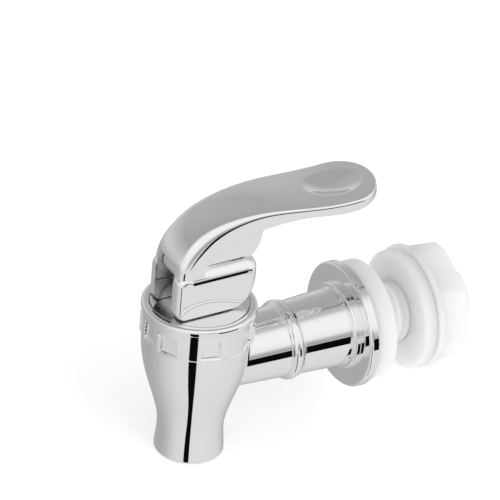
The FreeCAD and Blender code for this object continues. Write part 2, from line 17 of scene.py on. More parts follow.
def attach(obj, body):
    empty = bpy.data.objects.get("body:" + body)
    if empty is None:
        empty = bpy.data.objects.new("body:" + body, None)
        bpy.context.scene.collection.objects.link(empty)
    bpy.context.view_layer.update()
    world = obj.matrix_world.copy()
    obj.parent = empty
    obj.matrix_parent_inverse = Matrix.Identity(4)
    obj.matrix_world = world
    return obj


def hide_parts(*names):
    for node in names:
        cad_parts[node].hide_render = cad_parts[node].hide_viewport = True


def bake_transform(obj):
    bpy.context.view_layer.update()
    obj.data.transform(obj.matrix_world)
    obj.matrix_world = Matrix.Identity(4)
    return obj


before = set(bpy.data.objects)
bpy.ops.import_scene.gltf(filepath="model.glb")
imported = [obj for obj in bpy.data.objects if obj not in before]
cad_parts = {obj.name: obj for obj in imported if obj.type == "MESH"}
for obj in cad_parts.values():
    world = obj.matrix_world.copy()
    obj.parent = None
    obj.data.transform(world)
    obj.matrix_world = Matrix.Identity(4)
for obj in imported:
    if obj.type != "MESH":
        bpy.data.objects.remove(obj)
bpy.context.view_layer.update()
MM = 0.001
REACH = 47.0
MERGE, SLIVER = 2e-7, 1e-7

# %% [markdown]
# ## Helpers
# Three small tools do most of the work. A spline gives smooth lines through a few measured points. A
# rounded profile turns a list of corners into a closed line whose corners are arcs, because no edge of a
# moulded part is truly sharp, and chrome shows each edge as a thin bright line. A grid joins rows and
# columns of points into faces.


# %% A smooth line through measured points
def spline(knots, values, at, first=None, last=None):
    """A cubic through the values at the knots, whose bend is the same on both sides of each knot.
    The bends are found together, from one set of equations: each knot's bend balances the change of
    slope there. An end has no bend, or it has the slope that is given for it."""
    knots, values, at = np.asarray(knots, float), np.asarray(values, float), np.asarray(at, float)
    gaps, count, middle = np.diff(knots), len(knots), np.arange(1, len(knots) - 1)
    slopes = np.diff(values) / gaps
    balance, change = np.zeros((count, count)), np.zeros(count)
    balance[middle, middle - 1] = gaps[:-1]
    balance[middle, middle] = 2 * (gaps[:-1] + gaps[1:])
    balance[middle, middle + 1] = gaps[1:]
    change[1:-1] = 6 * np.diff(slopes)
    balance[0, 0] = balance[-1, -1] = 1
    if first is not None:
        balance[0, :2] = 2 * gaps[0], gaps[0]
        change[0] = 6 * (slopes[0] - first)
    if last is not None:
        balance[-1, -2:] = gaps[-1], 2 * gaps[-1]
        change[-1] = 6 * (last - slopes[-1])
    bends = np.linalg.solve(balance, change)
    k = np.clip(np.searchsorted(knots, at, side="right") - 1, 0, count - 2)
    b = (at - knots[k]) / gaps[k]
    a = 1 - b
    pull = ((a ** 3 - a) * bends[k] + (b ** 3 - b) * bends[k + 1]) * gaps[k] ** 2 / 6
    return a * values[k] + b * values[k + 1] + pull


# %% A closed profile with arcs at its corners
def rounded_profile(corners, steps=7, support=0.04):
    """Rows of (distance, level, rounding) become a closed line. Each arc's middle lies on the line that
    halves the corner's angle, at rounding / sin(half the angle) from the corner, and one more point just
    outside each end of the arc keeps the flat beside it flat when it is shaded smooth."""
    corners = np.asarray(corners, float)
    spot, soft = corners[:, :2], corners[:, 2]
    back, ahead = np.roll(spot, 1, 0) - spot, np.roll(spot, -1, 0) - spot
    back /= np.linalg.norm(back, axis=1)[:, None]
    ahead /= np.linalg.norm(ahead, axis=1)[:, None]
    half = np.arccos(np.clip((back * ahead).sum(1), -1, 1)) / 2
    inward, side = back + ahead, ahead - back
    straight = np.linalg.norm(inward, axis=1) < 1e-9
    inward[straight] = np.column_stack([-side[straight][:, 1], side[straight][:, 0]])
    inward /= np.linalg.norm(inward, axis=1)[:, None]
    side /= np.linalg.norm(side, axis=1)[:, None]
    centre = spot + inward * (soft / np.sin(half))[:, None]
    turn = np.linspace(-1, 1, steps)[None, :] * (math.pi / 2 - half)[:, None]
    arc = centre[:, None] + soft[:, None, None] * (
        side[:, None] * np.sin(turn)[..., None] - inward[:, None] * np.cos(turn)[..., None])
    beside = np.where(soft > 0, support, 0.0)[:, None]
    first, last = arc[:, 0] + back * beside, arc[:, -1] + ahead * beside
    line = np.concatenate([first[:, None], arc, last[:, None]], axis=1).reshape(-1, 2)
    apart = np.linalg.norm(line - np.roll(line, 1, 0), axis=1) > 1e-6
    return line[apart]


# %% Rows and columns of points become a closed mesh
def grid_faces(rows, columns, wrap_rows=False, wrap_columns=True):
    """Each face joins four neighbours in the grid. A wrapped direction joins its last line to its first."""
    index = np.arange(rows * columns).reshape(rows, columns)
    if wrap_columns:
        index = np.column_stack([index, index[:, 0]])
    if wrap_rows:
        index = np.vstack([index, index[:1]])
    faces = np.stack([index[:-1, :-1], index[:-1, 1:], index[1:, 1:], index[1:, :-1]], axis=-1)
    return faces.reshape(-1, 4)


def capped_faces(rows, columns):
    """Rings of points joined to a tube, with one more face that closes each end."""
    faces = [list(face) for face in grid_faces(rows, columns)]
    return faces + [list(range(columns)), list(range((rows - 1) * columns, rows * columns))[::-1]]


def solid_mesh(name, points, faces):
    """A closed mesh from points in millimetres: doubles are merged, and if its signed volume comes out
    negative all its faces are turned, so that they look outwards."""
    mesh = bpy.data.meshes.new(name)
    mesh.from_pydata((np.asarray(points).reshape(-1, 3) * MM).tolist(), [], [list(face) for face in faces])
    shape = bmesh.new()
    shape.from_mesh(mesh)
    bmesh.ops.remove_doubles(shape, verts=shape.verts, dist=MERGE)
    bmesh.ops.dissolve_degenerate(shape, edges=shape.edges, dist=SLIVER)
    if shape.calc_volume(signed=True) < 0:
        bmesh.ops.reverse_faces(shape, faces=shape.faces)
    loose = sum(1 for edge in shape.edges if len(edge.link_faces) != 2)
    volume = shape.calc_volume() / MM ** 3
    print("%s: %d faces, %.0f mm3, %d open edges" % (name, len(shape.faces), volume, loose))
    shape.to_mesh(mesh)
    shape.free()
    mesh.shade_smooth()
    return mesh


def add_piece(name, mesh, body, finish, slot, *stands_for):
    """Puts the mesh in the scene with its finish, on the body that it moves with."""
    piece = bpy.data.objects.new(name, mesh)
    bpy.context.scene.collection.objects.link(piece)
    mesh.materials.clear()
    mesh.materials.append(finish)
    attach(piece, body)
    if stands_for:
        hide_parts(*stands_for)


# %% Turning a profile about one of the spigot's two axes
def about_spout(radius, angle, level):
    """The upright axis of the body: angle 0 looks along +X, a quarter turn looks along +Y."""
    return np.stack([radius * np.cos(angle), radius * np.sin(angle) - REACH, level + 0 * angle], axis=-1)


def about_thread(radius, angle, along):
    """The thread's axis, which is the Y axis: angle 0 looks along +X, a quarter turn looks up."""
    return np.stack([radius * np.cos(angle), along + 0 * angle, radius * np.sin(angle)], axis=-1)


def turned(name, profile, axis, columns=144):
    """The profile is swept through one full turn about the axis."""
    angle = np.linspace(0, 2 * math.pi, columns, endpoint=False)[None, :]
    points = axis(profile[:, :1] + 0 * angle, angle, profile[:, 1:] + 0 * angle)
    return solid_mesh(name, points, grid_faces(len(profile), columns, wrap_rows=True))


# %% [markdown]
# ## Finishes
# The metal-looking parts are taken for plastic under a thin chrome plating, though a photograph can't tell.
# Plating is a mirror, but it follows the moulding's slight waves, so reflections wander a little. One node
# group gives those waves, and it also serves the moulded white parts with larger and softer ones. The
# shader itself stays in each material.


# %% The waves of a moulded surface
def moulded_waves():
    """Noise of one size gives the height, and a coarser noise varies the roughness between two values."""
    group = bpy.data.node_groups.new("moulded_waves", "ShaderNodeTree")
    face = group.interface
    for title, low in (("Wave Size", 120.0), ("Wave Height", 0.02), ("Smoothest", 0.03), ("Roughest", 0.06)):
        face.new_socket(title, in_out="INPUT", socket_type="NodeSocketFloat").default_value = low
    face.new_socket("Roughness", in_out="OUTPUT", socket_type="NodeSocketFloat")
    face.new_socket("Normal", in_out="OUTPUT", socket_type="NodeSocketVector")
    nodes, links = group.nodes, group.links
    given, result = nodes.new("NodeGroupInput"), nodes.new("NodeGroupOutput")
    place = nodes.new("ShaderNodeTexCoord")
    noise, cloud = nodes.new("ShaderNodeTexNoise"), nodes.new("ShaderNodeTexNoise")
    bump, spread = nodes.new("ShaderNodeBump"), nodes.new("ShaderNodeMapRange")
    noise.inputs["Detail"].default_value = 1.0
    cloud.inputs["Scale"].default_value = 45.0
    bump.inputs["Distance"].default_value = 0.0004
    links.new(place.outputs["Object"], noise.inputs["Vector"])
    links.new(place.outputs["Object"], cloud.inputs["Vector"])
    links.new(given.outputs["Wave Size"], noise.inputs["Scale"])
    links.new(given.outputs["Wave Height"], bump.inputs["Strength"])
    links.new(noise.outputs["Fac"], bump.inputs["Height"])
    links.new(cloud.outputs["Fac"], spread.inputs["Value"])
    links.new(given.outputs["Smoothest"], spread.inputs["To Min"])
    links.new(given.outputs["Roughest"], spread.inputs["To Max"])
    links.new(spread.outputs["Result"], result.inputs["Roughness"])
    links.new(bump.outputs["Normal"], result.inputs["Normal"])
    return group


WAVES = moulded_waves()


def finish(name, colour, metallic, size, height, smoothest, roughest, **plain):
    """A Principled shader. The waves give its roughness and normal, and its other values are plain."""
    material = bpy.data.materials.new(name)
    material.use_nodes = True
    shader = material.node_tree.nodes["Principled BSDF"]
    waves = material.node_tree.nodes.new("ShaderNodeGroup")
    waves.node_tree = WAVES
    settings = {"Wave Size": size, "Wave Height": height, "Smoothest": smoothest, "Roughest": roughest}
    for title, value in settings.items():
        waves.inputs[title].default_value = value
    material.node_tree.links.new(waves.outputs["Roughness"], shader.inputs["Roughness"])
    material.node_tree.links.new(waves.outputs["Normal"], shader.inputs["Normal"])
    shader.inputs["Base Color"].default_value = (*colour, 1)
    shader.inputs["Metallic"].default_value = metallic
    for title, value in plain.items():
        shader.inputs[title.replace("_", " ")].default_value = value
    return material


# %% The six finishes, two of which let light into the material and also glow a little, a painted brightening that lifts their shade
# Subsurface light gives the milky look, and the faint emission is painted light that brightens the white
# parts' shaded sides
MILKY_AND_GLOWING = {"Subsurface_Weight": 1.0, "Subsurface_Scale": 0.010, "Subsurface_Radius": (1, 1, 1),
         "Emission_Color": (1, 1, 1, 1), "Emission_Strength": 0.05}
chrome = finish("plated_chrome", (0.90, 0.90, 0.90), 1.0, 160.0, 0.015, 0.02, 0.05)
steel = finish("spring_steel", (0.62, 0.62, 0.61), 1.0, 400.0, 0.05, 0.18, 0.30)
white = finish("milky_plastic", (0.86, 0.86, 0.86), 0.0, 90.0, 0.10, 0.40, 0.52, **MILKY_AND_GLOWING)
silicone = finish("pale_silicone", (0.83, 0.83, 0.83), 0.0, 60.0, 0.16, 0.52, 0.64, **MILKY_AND_GLOWING)
satin = finish("satin_chrome", (0.84, 0.84, 0.84), 1.0, 160.0, 0.02, 0.14, 0.22)
inner = finish("stem_plastic", (0.80, 0.80, 0.79), 0.0, 90.0, 0.10, 0.34, 0.46)

# %% [markdown]
# ## Body
# The body is one moulding in three forms: a spout that hangs like a vase, a slightly tapered arm with a
# raised bead, and a flange that sits on the washer. Each is round, so each is a profile turned about an
# axis. The vase's outside is a spline through five measured radii.

# %% The vase-shaped spout
shoulder, mouth = 9.2, -26.4
COLUMNS = 192
level = np.linspace(shoulder - 0.05, mouth + 0.6, 70)
vase_radius = spline([mouth, -18.1, -11.9, -3.2, shoulder], [9.35, 8.95, 10.2, 13.0, 14.9], level, 0, 0)
vase = np.column_stack([vase_radius, level, 0 * level])
inside = [(9.35, mouth, 0.5), (7.4, mouth, 0.5), (7.4, -11.7, 0.2), (5.4, -11.7, 0.3), (5.4, -6.4, 0.3),
          (6.4, -6.4, 0.3), (6.4, -7.2, 0), (10.4, -7.2, 0.4), (10.4, 12.8, 0.1), (12.5, 12.8, 0.1),
          (12.5, shoulder, 0), (14.9, shoulder, 0)]
spout = turned("spout", rounded_profile(np.vstack([vase, inside])), about_spout, COLUMNS)
add_piece("spout", spout, "housing", chrome, "chrome_plate", "valve_body")

# %% [markdown]
# The arm ends inside the spout's wall. Its profile is turned about the thread's axis, and then no point is
# let nearer to the spout's own axis than a set distance, so that the arm's end follows the round wall.

# %% The arm, its bead, its root ring and its flange
NEAREST_TO_SPOUT, BEAD_FOOT, BORE_SIDE = 10.8, -22.69, 6


def arm_radius(along):
    """The arm's taper: a straight line from its radius at the spout's axis to its radius at the flange."""
    return 11.0 + 2.5 * along / REACH


bead_angle = np.linspace(math.radians(158), math.radians(22), 15)
bead = np.column_stack([9.25 + 1.65 * np.sin(bead_angle), -20.6 + 1.55 * np.cos(bead_angle), 0 * bead_angle])
cone = np.linspace(-42.0, -22.7, 24)
outside = np.vstack([np.column_stack([arm_radius(cone), cone, 0 * cone]),
                     [(arm_radius(-22.6) + 0.32, -22.55, 0.12), (arm_radius(-22.2) + 0.32, -22.15, 0.12)]])
behind = [(arm_radius(-19.1) + 0.5, -19.05, 0.15), (arm_radius(-18.6) + 0.5, -18.6, 0.2),
          (arm_radius(-18.55), -18.55, 0.05), (arm_radius(-4.3), -4.3, 0.15), (11.9, -4.1, 0.6),
          (11.9, -2.6, 0.12), (17.2, -2.6, 1.0), (17.2, 0, 0.25), (6.7, 0, 0.2), (6.7, -11.0, 0.1),
          (5.0, -11.0, 0.1), (5.0, -42.0, 0)]
profile = rounded_profile(np.vstack([outside, bead, behind]), steps=9)
angle = np.linspace(0, 2 * math.pi, COLUMNS, endpoint=False)[None, :]
points = about_thread(profile[:, :1] + 0 * angle, angle, profile[:, 1:] + 0 * angle)
saddle = -REACH + np.sqrt(np.maximum(NEAREST_TO_SPOUT ** 2 - points[..., 0] ** 2, 0))
points[..., 1] = np.maximum(points[..., 1], saddle)
on_cone = (profile[:, 1] < BEAD_FOOT) & (profile[:, 0] > BORE_SIDE)
place = points[on_cone][..., 1]
points[on_cone] = about_thread(arm_radius(place), angle + 0 * place, place)
arm = solid_mesh("arm_and_flange", points, grid_faces(len(profile), COLUMNS, wrap_rows=True))
arm.set_sharp_from_angle(angle=math.radians(50))
add_piece("arm_and_flange", arm, "housing", chrome, "chrome_plate")

# %% [markdown]
# ## Bonnet
# The bonnet is a ring that closes the body. Its skirt has shallow recesses for the fingers, planed flat, so
# each is deepest in its middle, with a narrow bar between some of them. They are a change of radius over
# angle and level on a turned skirt, with columns of points right beside each recess's edges.

# %% Recesses and bars over angle and level
FOOT, RIM = 9.35, 19.35
SKIRT, FLAT, WIDTH_RADIUS = 14.9, 13.95, 14.6
WINDOW_HALF, WINDOW_TAPER, WINDOW_HEIGHT = 2.7, 0.5, 5.8
BAR_HALF, BAR_RISE = 0.85, 0.5
windows = np.radians([-91.5, -62.0, -15.6, 34.7, 64.0, 118.0, 147.0, 196.0])
bars = np.radians([-76.0, -120.0, 49.5, 132.5])
edge = 0.12 / SKIRT


def nearest(angle, centres):
    """The signed angle to the nearest of the centres."""
    gap = (angle[..., None] - centres + math.pi) % (2 * math.pi) - math.pi
    pick = np.abs(gap).argmin(-1)
    return np.take_along_axis(gap, pick[..., None], -1)[..., 0]


def skirt_radius(angle, level):
    """The skirt's radius, or on a bar its rise more. A recess is a flat, so its radius is the flat's
    distance from the axis over the cosine of the angle from its middle. Its half width narrows by its
    taper from foot to top."""
    off = nearest(angle, windows)
    half = (WINDOW_HALF - WINDOW_TAPER * (level - FOOT) / WINDOW_HEIGHT) / WIDTH_RADIUS
    between = np.clip((15.15 - level) / 0.1, 0, 1) * np.clip((level - FOOT - 0.35) / 0.1, 0, 1)
    inside = np.clip((half - np.abs(off)) / edge, 0, 1) * between
    planed = np.minimum(FLAT / np.cos(off), SKIRT)
    on_bar = np.clip((BAR_HALF / SKIRT - np.abs(nearest(angle, bars))) / edge, 0, 1)
    on_bar = on_bar * np.clip((15.1 - level) / 0.3, 0, 1)
    return SKIRT + (planed - SKIRT) * inside + BAR_RISE * on_bar * (1 - inside)


# %% The bonnet's grid
by_edge = np.array([2.15, 2.25, 2.35, 2.45, 2.55, 2.65, 2.75]) / WIDTH_RADIUS
spread = np.concatenate([np.linspace(-WINDOW_HALF, WINDOW_HALF, 9) / WIDTH_RADIUS, -by_edge, by_edge])
near_bars = np.array([-1, -0.86, -0.74, -0.4, 0.4, 0.74, 0.86, 1]) / SKIRT
angle = np.concatenate([(windows[:, None] + spread).ravel(), (bars[:, None] + near_bars).ravel(),
                        np.linspace(-math.pi, math.pi, 120, endpoint=False)])
angle = np.sort((angle + math.pi) % (2 * math.pi) - math.pi)
angle = angle[np.append(True, np.diff(angle) > 2e-4)]
skirt = np.concatenate([[FOOT + 0.05, FOOT + 0.3, FOOT + 0.35, FOOT + 0.45, FOOT + 0.5],
                        np.linspace(FOOT + 0.9, 14.8, 9), [15.0, 15.05, 15.1, 15.15, 15.2]])
top = rounded_profile([(SKIRT, 16.9, 0.12), (15.5, 17.3, 0.6), (15.5, RIM, 1.2), (13.4, RIM, 0.5),
                       (13.4, 15.15, 0.1), (3.0, 15.15, 0.1), (3.0, 13.65, 0.1), (12.58, 13.65, 0.1),
                       (12.58, FOOT, 0.1), (14.8, FOOT, 0)], steps=9)
radius = np.concatenate([skirt_radius(*np.meshgrid(angle, skirt)), top[:, :1] + 0 * angle[None, :]])
radius[-1] = radius[0] - 0.1
height = np.concatenate([skirt, top[:, 1]])[:, None] + 0 * angle[None, :]
points = about_spout(radius, angle[None, :] + 0 * radius, height)
bonnet = solid_mesh("bonnet_ring", points, grid_faces(len(height), len(angle), wrap_rows=True))
add_piece("bonnet_ring", bonnet, "housing", chrome, "chrome_plate", "bonnet")

# %% [markdown]
# ## Lever
# The lever is a swan neck: it climbs from two ears, bends over and ends in a thumb pad. Its outline is
# drawn on a strip that follows the crest: distance along the crest, and distance across. The outline runs
# up one edge, round the tip and back. Moved inwards step by step, it gives the rounded edge, the crowned
# top and, below, the hollow between the skirts. That keeps the rows of points along the edges, where
# chrome shows any unevenness, and it rounds the tip as evenly as the sides.

# %% The crest and what changes along it
# distance behind the stem, height over the ears' feet, half width, depth to the skirt, corner, crown
STATIONS = np.array([
    (-11.45, 9.0, 7.6, 8.0, 2.0, 1.1), (-11.35, 14.8, 7.6, 8.0, 2.0, 1.1), (-8.4, 21.3, 7.6, 8.0, 2.9, 1.1),
    (-2.6, 25.9, 7.65, 7.4, 2.7, 1.0), (4.5, 28.0, 7.9, 6.9, 1.9, 0.8), (12.5, 28.5, 8.4, 5.7, 1.2, 0.5),
    (20.5, 28.0, 9.2, 4.1, 0.9, 0.35), (29.0, 27.1, 9.9, 3.3, 0.8, 0.3), (38.0, 26.6, 10.3, 3.7, 0.8, 0.3),
    (46.0, 27.1, 10.2, 3.2, 0.8, 0.3), (50.3, 27.8, 10.0, 2.8, 0.8, 0.3)])
EARS_FOOT = 19.55
crest = np.append(0, np.cumsum(np.linalg.norm(np.diff(STATIONS[:, :2], axis=0), axis=1)))
LENGTH, TIP = crest[-1], 9.0


def along_crest(t):
    """The six measures at a distance along the crest, as smooth lines through the stations."""
    t = np.clip(t, 0, LENGTH)
    return [spline(crest, column, t) for column in STATIONS.T]


def on_lever(t, across, sink):
    """From the crest, the point goes across, and down at right angles to the crest by the sink."""
    ahead, up = along_crest(t)[:2]
    step = 0.01
    beyond, before = along_crest(t + step), along_crest(t - step)
    tangent = np.stack([beyond[0] - before[0], beyond[1] - before[1]])
    tangent /= np.linalg.norm(tangent, axis=0)
    place, level = ahead + tangent[1] * sink - REACH, up - tangent[0] * sink + EARS_FOOT
    return np.stack([across, place, level], axis=-1)


# %% The outline on the strip, and the direction into it
straight = np.linspace(0, LENGTH - TIP, 110)
bend = np.linspace(0, math.pi / 2, 34)[1:]
run = np.concatenate([straight, LENGTH - TIP + TIP * np.sin(bend)])
width = np.concatenate([along_crest(straight)[2], along_crest(run[110:])[2] * np.cos(bend)])
run, width = np.append(run, run[-2::-1]), np.append(width, -width[-2::-1])
slope_run, slope_width = np.gradient(run), np.gradient(width)
size = np.hypot(slope_run, slope_width)
into_run, into_width = slope_width / size, -slope_run / size
into_run[[0, -1]], into_width[[0, -1]] = 0, [-1, 1]
spine = np.where(run > LENGTH - TIP, LENGTH - TIP + 0.55 * (run - LENGTH + TIP), run)

# %% The surface, row by row, from the top's middle round the skirt to the hollow's middle
def dish(t, across):
    """The thumb's hollow: 1 - distance squared inside an oval, so it has a clear rim, and 0 outside it."""
    ahead = along_crest(t)[0]
    distance = ((ahead - 38.8) / 9.0) ** 2 + (across / 5.8) ** 2
    return 1.5 * np.clip(1 - distance, 0, 1) ** 1.2


def inset(distance):
    """The outline moved into the strip by a distance in millimetres."""
    return run + into_run * distance, width + into_width * distance


def crowned(t, across, extra):
    """The top sinks towards its edges with the square of the distance across, and by what is extra."""
    half, crown = along_crest(t)[2], along_crest(t)[5]
    return crown * np.clip(across / half, -1, 1) ** 2 + dish(t, across) + extra


half, depth, corner = along_crest(run)[2:5]
corner = np.minimum(corner, 0.94 * np.maximum(along_crest(run)[2], 1))
rows = []
edge_run, edge_width = inset(corner)
for share in np.linspace(0, 1, 26)[:-1]:
    t, across = spine + (edge_run - spine) * share, edge_width * share
    rows.append(on_lever(t, across, crowned(t, across, 0)))
for turn in np.linspace(0, math.pi / 2, 9):
    t, across = inset(corner * (1 - np.sin(turn)))
    rows.append(on_lever(t, across, crowned(t, across, corner * (1 - np.cos(turn)))))
crown_edge = crowned(run, width, corner)
lip = 0.45
for share in (0.04, 0.25, 0.5, 0.75, 0.96):
    rows.append(on_lever(run, width, crown_edge + (depth - lip - crown_edge) * share))
for turn in np.linspace(0, math.pi / 2, 5):
    t, across = inset(lip * (1 - np.cos(turn)))
    rows.append(on_lever(t, across, depth - lip * (1 - np.sin(turn))))
WALL = 1.7
grow = np.clip((run - crest[3]) / (crest[5] - crest[3]), 0, 1)
ceiling = depth - (depth - WALL - 0.3) * grow ** 2 * (3 - 2 * grow)
wall_run, wall_width = inset(WALL)
rows.append(on_lever(*inset(WALL - 0.25), depth))
rows.append(on_lever(wall_run, wall_width, depth - 0.25 * grow))
rows.append(on_lever(wall_run, wall_width, ceiling + 0.25 * grow))
for share in np.linspace(0.96, 0, 8):
    t, across = spine + (wall_run - spine) * share, wall_width * share
    rows.append(on_lever(t, across, ceiling + 0 * across))
rows = np.stack(rows)
count = len(run)
faces = [list(face) for face in grid_faces(len(rows), count, wrap_columns=False)]
ends = [row * count for row in range(len(rows))]
ends += [row * count + count - 1 for row in range(len(rows) - 2, 0, -1)]
swan_neck = solid_mesh("swan_neck", rows, faces + [ends])

# %% [markdown]
# The ears are a block with a flat foot, a round heel behind that the lever rolls on, and a top that is
# rounded like a bar. Its outline is rounded first, and then moved inwards while it goes sideways. How far
# depends on the way the outline faces: wide at the top, narrow at the foot. A web stands on the ears and
# fills the space under the neck; its back edge is hollowed out in an arc.

# %% The block of the ears
EARS_HALF, TURNS_OUT = 7.9, 12
outline = rounded_profile([(-11.6, 0, 2.5), (-11.6, 14.8, 4.5), (13.7, 14.8, 4.5), (13.7, 0, 8.5)], steps=20)
along = np.roll(outline, -1, 0) - np.roll(outline, 1, 0)
along /= np.linalg.norm(along, axis=1)[:, None]
out = np.column_stack([-along[:, 1], along[:, 0]])
out *= np.sign((out * (outline - [1, 7])).sum(1))[:, None]
facing = np.clip(np.column_stack([out[:, 1], -out[:, 0], out[:, 0], -out[:, 1]]), 0, 1) ** 2
soft = facing @ np.array([4.35, 1.6, 3.2, 0.35])
turn = np.linspace(0, math.pi / 2, TURNS_OUT)
turn = np.concatenate([np.linspace(math.pi / 2, 0, TURNS_OUT), turn])[:, None]
side = np.repeat([-1.0, 1.0], TURNS_OUT)[:, None]
across = side * (EARS_HALF - 1.5 * soft[None, :] * (1 - np.sin(turn)))
inwards = soft[None, :] * (1 - np.cos(turn))
spots = outline[None] - out[None] * inwards[..., None]
points = np.stack([across, spots[..., 0] - REACH, spots[..., 1] + EARS_FOOT], axis=-1)
ears = solid_mesh("ears", points, capped_faces(2 * TURNS_OUT, len(outline)))

# %% The web under the neck
WEB_HALF = 5.3
arc = np.linspace(0, 1, 12)
hollowed = np.column_stack([9.6 + 5.6 * np.sin(arc * math.pi / 2) ** 0.9,
                            13.0 + 11.6 * (1 - np.cos(arc * math.pi / 2))])
side_view = np.vstack([[(-10.6, 12.0), (-10.6, 15.6), (-7.4, 20.6), (-2.2, 24.3), (4.6, 26.4), (12.6, 26.9)],
                       hollowed[::-1], [(9.6, 12.0)]])
count = len(side_view)
points = np.stack([np.column_stack([np.full(count, x), side_view[:, 0] - REACH, side_view[:, 1] + EARS_FOOT])
                   for x in (-WEB_HALF, WEB_HALF)])
web = solid_mesh("web", points, capped_faces(2, count))

# %% Joining neck, ears and web, and cutting the slot for the stem
corner_signs = np.array([(x, y, z) for x in (-1, 1) for y in (-1, 1) for z in (-1, 1)], float)
slot_middle, slot_half = np.array([0, 1.0 - REACH, EARS_FOOT + 7.0]), np.array([4.5, 15.0, 9.0])
box_faces = [(0, 1, 3, 2), (4, 6, 7, 5), (0, 4, 5, 1), (2, 3, 7, 6), (0, 2, 6, 4), (1, 5, 7, 3)]
slot_cutter = solid_mesh("slot_cutter", slot_middle + corner_signs * slot_half, box_faces)


def combined(name, base, *steps):
    """The base mesh after each boolean step with another mesh, as one new mesh."""
    helper = bpy.data.objects.new(name, base)
    bpy.context.scene.collection.objects.link(helper)
    others = []
    for kind, mesh in steps:
        other = bpy.data.objects.new(name + "_" + mesh.name, mesh)
        bpy.context.scene.collection.objects.link(other)
        step = helper.modifiers.new(mesh.name, "BOOLEAN")
        step.operation, step.object, step.solver = kind, other, "EXACT"
        others.append(other)
    result = bpy.data.meshes.new_from_object(helper.evaluated_get(bpy.context.evaluated_depsgraph_get()))
    result.name = name
    for thing in others + [helper]:
        bpy.data.objects.remove(thing)
    return result


bpy.context.view_layer.update()
lever_mesh = combined("lever_shell", swan_neck, ("UNION", ears), ("UNION", web),
                      ("DIFFERENCE", slot_cutter))
lever_mesh.shade_smooth()
lever_mesh.set_sharp_from_angle(angle=math.radians(32))
print("lever_shell:", len(lever_mesh.polygons), "faces")
add_piece("lever_shell", lever_mesh, "lever", chrome, "chrome_plate", "lever")

# %% [markdown]
# ## Shank, washers and nut
# Behind the flange everything is white. The shank is a threaded tube of milky plastic, the washers are
# silicone with bulging rims, and the nut has a round collar and six softened corners.

# %% The threaded shank
PITCH, CREST_RADIUS, THREAD_DEPTH = 2.6, 8.2, 0.75
columns = 96
angle = np.linspace(0, 2 * math.pi, columns, endpoint=False)[None, :]
along = np.linspace(0.15, 33.2, 200)[:, None]
phase = (along / PITCH - angle / (2 * math.pi)) % 1
ridge = np.clip(1.6 * np.abs(2 * phase - 1) - 0.3, 0, 1)
fade = np.clip((along - 0.6) / 1.5, 0, 1)
outer = CREST_RADIUS - THREAD_DEPTH * ridge * fade
bore = np.array([(7.4, 34.0), (4.9, 34.0), (4.6, 33.7), (4.6, -10.85), (6.6, -10.85), (6.6, 0.15),
                 (8.1, 0.15)])
radius = np.concatenate([outer, bore[:, :1] + 0 * angle])
place = np.concatenate([along + 0 * angle, bore[:, 1:] + 0 * angle])
points = about_thread(radius, angle + 0 * radius, place)
shank = solid_mesh("shank", points, grid_faces(len(radius), columns, wrap_rows=True))
shank.set_sharp_from_angle(angle=math.radians(50))
add_piece("shank", shank, "housing", white, "white_plastic", "threaded_shank")

# %% The two washers
HOLE, WASHER = 8.0, 16.3
for name, node, near, far, near_round in (("outer_ring", "outer_washer", 0.15, 6.35, 2.4),
                                          ("inner_ring", "inner_washer", 15.1, 19.1, 0.9)):
    profile = rounded_profile([(HOLE, near, 0.3), (WASHER, near, near_round), (WASHER, far, 0.9),
                               (HOLE, far, 0.3)], steps=12)
    add_piece(name, turned(name, profile, about_thread), "housing", silicone, "silicone", node)

# %% The nut: a hexagon's radius over angle, limited by a round bar with a soft end
NUT, NUT_HEIGHT, COLLAR_THICK, COLLAR, ROUND, CORNER = 19.25, 9.6, 1.4, 17.2, 16.9, 17.9
columns = 240
angle = np.linspace(0, 2 * math.pi, columns, endpoint=False)[None, :]
apothem = CORNER * math.cos(math.pi / 6)
turned_by = math.radians(34.0)
hexagon = apothem / np.cos((angle - turned_by) % (math.pi / 3) - math.pi / 6)
profile = rounded_profile([(8.3, NUT, 0.2), (COLLAR, NUT, 0.45), (COLLAR, NUT + COLLAR_THICK, 0.45),
                           (ROUND, NUT + COLLAR_THICK, 0), (ROUND, NUT + NUT_HEIGHT, 1.6),
                           (8.3, NUT + NUT_HEIGHT, 0.3)], steps=12)
bar = profile[:, :1] + 0 * angle
beyond_collar = (profile[:, 1:] > NUT + 1.35) & (profile[:, :1] > 9.0)
softened = np.minimum(bar, hexagon - np.maximum(ROUND - bar, 0) * 0.35)
radius = np.where(beyond_collar & (profile[:, :1] <= ROUND + 0.05), softened, bar)
nut = solid_mesh("nut", about_thread(radius, angle + 0 * radius, profile[:, 1:] + 0 * angle),
                 grid_faces(len(profile), columns, wrap_rows=True))
nut.set_sharp_from_angle(angle=math.radians(50))
add_piece("nut", nut, "housing", white, "white_plastic", "lock_nut")

# %% [markdown]
# ## Return spring
# The spring sits between two seats inside the body. When the lever flips back it lifts the lower seat, so a
# stiff coil would cut through the upper one. This coil is drawn as a round wire along a helix, from the
# packed spring's foot to its head.

# %% A wire along a helix
COIL_RADIUS, WIRE, TURNS, RINGS, SIDES = 5.4, 0.4, 4.5, 217, 12
packed = np.array(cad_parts["return_spring"].bound_box)[:, 2] / MM
foot, head = packed.min() + WIRE, packed.max() - WIRE
way = np.linspace(0, 1, RINGS)[:, None]
round_wire = np.linspace(0, 2 * math.pi, SIDES, endpoint=False)[None, :]
radius = COIL_RADIUS + WIRE * np.cos(round_wire) + 0 * way
height = foot + (head - foot) * way + WIRE * np.sin(round_wire)
points = about_spout(radius, 2 * math.pi * TURNS * way + 0 * radius, height)
coil_mesh = solid_mesh("coil", points, capped_faces(RINGS, SIDES))
coil = bpy.data.objects.new("coil", coil_mesh)
bpy.context.scene.collection.objects.link(coil)
coil_mesh.materials.append(steel)
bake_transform(coil)
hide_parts("return_spring")

